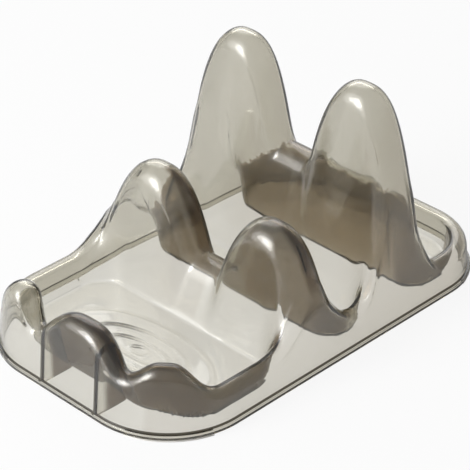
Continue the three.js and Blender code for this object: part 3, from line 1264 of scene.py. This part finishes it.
    def shell(self) -> tuple[Array, list[tuple[int, ...]]]:
        """Closed shell: upper sheet, lip and rim, and the underside a wall below.

        Returns:
            The points and the faces.
        """
        x, y = self.grid()
        count, width = x.shape
        upper = np.stack((x, y, self.rippled(x, y)), axis=-1)
        lower = self.underside(x, y)
        inner = self.ridge.lip_width + self.wall
        start = self.wall_insets()[0]
        ids = np.arange(count * width).reshape(count, width)
        loop = np.concatenate((ids[0, :-1], ids[:-1, -1], ids[-1, :0:-1], ids[:0:-1, 0]))
        edge = upper.reshape(-1, 3)[loop]
        out_x, out_y = self.plan.outward(edge[:, 0], edge[:, 1])

        def ring(inset: float, height: float) -> Array:
            """Points round the rim.

            Args:
                inset: Distance in from the base outline.
                height: Height above the rim's foot.

            Returns:
                The points.
            """
            shift = start - inset
            level = np.full(len(loop), height)
            return np.stack((edge[:, 0] + out_x * shift, edge[:, 1] + out_y * shift, level), axis=-1)

        upper.reshape(-1, 3)[loop] = ring(start, self.lip_height)
        lower.reshape(-1, 3)[loop] = ring(inner, self.lip_round)
        rings = [ring(inset, height) for inset, height in self.rim_profile()]
        points = np.concatenate([upper.reshape(-1, 3), lower.reshape(-1, 3), *rings])
        total = count * width
        loops = [loop] + [np.arange(len(loop)) + 2 * total + index * len(loop) for index in range(len(rings))]
        loops.append(loop + total)
        a, b, c, d = ids[:-1, :-1].ravel(), ids[:-1, 1:].ravel(), ids[1:, 1:].ravel(), ids[1:, :-1].ravel()
        quads = [np.stack((a, b, c, d), axis=-1), np.stack((d, c, b, a), axis=-1) + total]
        for first, second in zip(loops, loops[1:]):
            quads.append(np.stack((first, second, np.roll(second, -1), np.roll(first, -1)), axis=-1))
        return points, np.concatenate(quads).tolist()

    def rib(self, x: float) -> tuple[Array, list[tuple[int, ...]]]:
        """Gusset rib: a plate that fills the section of the front ridge up to the middle of its wall.

        Args:
            x: Place across.

        Returns:
            The points and the faces.
        """
        start = self.wall_insets()[0]
        insets = np.concatenate(([start], spread(start, self.ridge.front_foot, self.rib_steps, 1.5)))
        outline = self.below(np.full_like(insets, x), insets - self.plan.length / 2, self.wall / 2)
        outline = outline[outline[:, 2] > self.rib_lift]
        feet = [(place, self.rib_lift) for place in outline[[0, -1], 1]]
        profile = [feet[0], *map(tuple, outline[:, 1:]), feet[1]]
        count = len(profile)
        sides = (x - self.rib_thickness / 2, x + self.rib_thickness / 2)
        points = np.array([(side, along, up) for side in sides for along, up in profile])
        faces = [tuple(range(count)), tuple(range(2 * count - 1, count - 1, -1))]
        for index in range(count):
            following = (index + 1) % count
            faces.append((index, index + count, following + count, following))
        return points, faces

    def mesh_object(self, name: str, points: Array, faces: list[tuple[int, ...]]) -> bpy.types.Object:
        """Makes an object of points in millimetres above the rim.

        Args:
            name: Its name.
            points: The points.
            faces: The faces.

        Returns:
            The object, in the scene.
        """
        mesh = bpy.data.meshes.new(name)
        mesh.from_pydata(((points + (0.0, 0.0, self.pad_lift)) * MM).tolist(), [], faces)
        mesh.update()
        made = bpy.data.objects.new(name, mesh)
        bpy.context.scene.collection.objects.link(made)
        return made

    @staticmethod
    def join(body: bpy.types.Object, part: bpy.types.Object) -> None:
        """Joins a closed part into the body and removes the part.

        Args:
            body: The body.
            part: The part.
        """
        union = body.modifiers.new("join", "BOOLEAN")
        union.operation = "UNION"
        union.solver = "MANIFOLD"
        union.object = part
        with bpy.context.temp_override(object=body, active_object=body, selected_objects=[body]):
            bpy.ops.object.modifier_apply(modifier=union.name)
        bpy.data.objects.remove(part)

    def build(self) -> bpy.types.Object:
        """Builds and dresses the moulding.

        Returns:
            The piece.
        """
        body = self.mesh_object("smoke_moulding", *self.shell())
        for index, centre in enumerate(self.rib_centres):
            self.join(body, self.mesh_object(f"rib_{index}", *self.rib(centre)))
        body.data.materials.clear()
        body.data.materials.append(self.finish.material())
        body.data.shade_smooth()
        body.data.set_sharp_from_angle(angle=self.smooth_angle)
        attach(body, "root")
        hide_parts("moulded_body")
        return body


@dataclass
class GripPads:
    """The soft pads under the corners of the rim, kept as the part has them."""

    finish: ClearSilicone

    def dress(self) -> list[bpy.types.Object]:
        """Gives each pad its finish.

        Returns:
            The pads.
        """
        material = self.finish.material()
        pads = [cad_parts[corner.value] for corner in Corner]
        for pad in pads:
            pad.data.materials.clear()
            pad.data.materials.append(material)
        return pads


# Studio


@dataclass
class PhotoCamera:
    """Camera at the photograph's angle."""

    azimuth: float = math.radians(44.6835)
    elevation: float = math.radians(32.066)
    distance: float = 1.0375
    target: Vector = field(default_factory=lambda: Vector((0.0, 0.0, 0.041)))
    focal_pixels: float = 2278.99
    centre: tuple[float, float] = (236.317, 224.945)
    sensor: float = 36.0
    near: float = 0.01

    def build(self) -> bpy.types.Object:
        """Makes the camera and uses it.

        Returns:
            The camera.
        """
        data = bpy.data.cameras.new("photo_camera")
        data.sensor_fit = "HORIZONTAL"
        data.sensor_width = self.sensor
        data.lens = self.focal_pixels / PIXELS * self.sensor
        data.shift_x = (PIXELS / 2 - self.centre[0]) / PIXELS
        data.shift_y = (self.centre[1] - PIXELS / 2) / PIXELS
        data.clip_start = self.near
        camera = bpy.data.objects.new("photo_camera", data)
        level = math.cos(self.elevation)
        across, along = math.sin(self.azimuth) * level, -math.cos(self.azimuth) * level
        towards = Vector((across, along, math.sin(self.elevation)))
        camera.location = self.target + towards * self.distance
        camera.rotation_euler = (-towards).to_track_quat("-Z", "Y").to_euler()
        bpy.context.scene.collection.objects.link(camera)
        bpy.context.scene.camera = camera
        return camera


@dataclass(frozen=True)
class SoftBox:
    """A soft round lamp that looks at the rest."""

    name: str
    place: tuple[float, float, float]
    size: tuple[float, float]
    power: float

    def build(self, target: Vector) -> bpy.types.Object:
        """Makes the lamp.

        Args:
            target: The point that it faces.

        Returns:
            The lamp.
        """
        data = bpy.data.lights.new(self.name, "AREA")
        data.shape = "ELLIPSE"
        data.size, data.size_y = self.size
        data.energy = self.power
        lamp = bpy.data.objects.new(self.name, data)
        lamp.location = self.place
        lamp.rotation_euler = (target - Vector(self.place)).to_track_quat("-Z", "Y").to_euler()
        bpy.context.scene.collection.objects.link(lamp)
        return lamp


@dataclass
class Studio:
    """White floor, white surroundings and soft lamps."""

    floor_finish: StudioWhite
    floor_size: float = 12.0
    ambient: float = 0.3
    wall_bounces: int = 32
    gloss_bounces: int = 12
    lamp_target: tuple[float, float, float] = (0.0, 0.0, 0.04)
    lamps: tuple[SoftBox, ...] = (
        SoftBox("front_softbox_middle", (-0.32, -0.9, 0.6), (0.4, 0.4), 4.5),
        SoftBox("front_softbox_inner", (-0.32, -0.9, 0.6), (0.74, 0.74), 9.0),
        SoftBox("front_softbox_outer", (-0.32, -0.9, 0.6), (1.3, 1.3), 5.0),
        SoftBox("back_softbox", (-0.7, 0.72, 0.75), (1.3, 1.0), 5.0),
    )

    def build(self) -> None:
        """Makes the floor, the surroundings and the lamps."""
        half = self.floor_size / 2
        mesh = bpy.data.meshes.new("floor")
        corners = [(x, y, 0.0) for x, y in ((-half, -half), (half, -half), (half, half), (-half, half))]
        mesh.from_pydata(corners, [], [(0, 1, 2, 3)])
        mesh.materials.append(self.floor_finish.material())
        floor = bpy.data.objects.new("floor", mesh)
        bpy.context.scene.collection.objects.link(floor)
        world = bpy.data.worlds.new("studio")
        bpy.context.scene.world = world
        tree = ShaderTree(world)
        strength = self.ambient + (1 - self.ambient) * tree.seen()
        sockets = {"Color": (1.0, 1.0, 1.0, 1.0), "Strength": strength}
        background = tree.add("ShaderNodeBackground", {}, sockets)
        tree.add("ShaderNodeOutputWorld", {}, {"Surface": background})
        for lamp in self.lamps:
            lamp.build(Vector(self.lamp_target))

    def light_paths(self) -> None:
        """Lets light pass the many walls of the moulding, and keeps plain colours."""
        scene = bpy.context.scene
        scene.view_settings.view_transform = "Standard"
        scene.cycles.max_bounces = self.wall_bounces
        scene.cycles.transmission_bounces = self.wall_bounces
        scene.cycles.glossy_bounces = self.gloss_bounces


def write_sizes() -> None:
    """Defines a helper that turns a box into plain lists, and writes nothing."""

    def rows(box: Sequence[Sequence[float]]) -> list[list[float]]:
        """A box as plain lists."""
        return [[float(value) for value in corner] for corner in box]


def main() -> None:
    """Builds the rest and its studio, and reports each piece."""
    logging.basicConfig(level=logging.INFO, format="%(name)s: %(message)s")
    PhotoCamera().build()
    body = MouldedBody(SmokePlastic()).build()
    LOG.info("%s: %d faces", body.name, len(body.data.polygons))
    for pad in GripPads(ClearSilicone()).dress():
        LOG.info("%s: dressed", pad.name)
    studio = Studio(StudioWhite())
    studio.build()
    studio.light_paths()
    write_sizes()


if __name__ == "__main__":
    main()
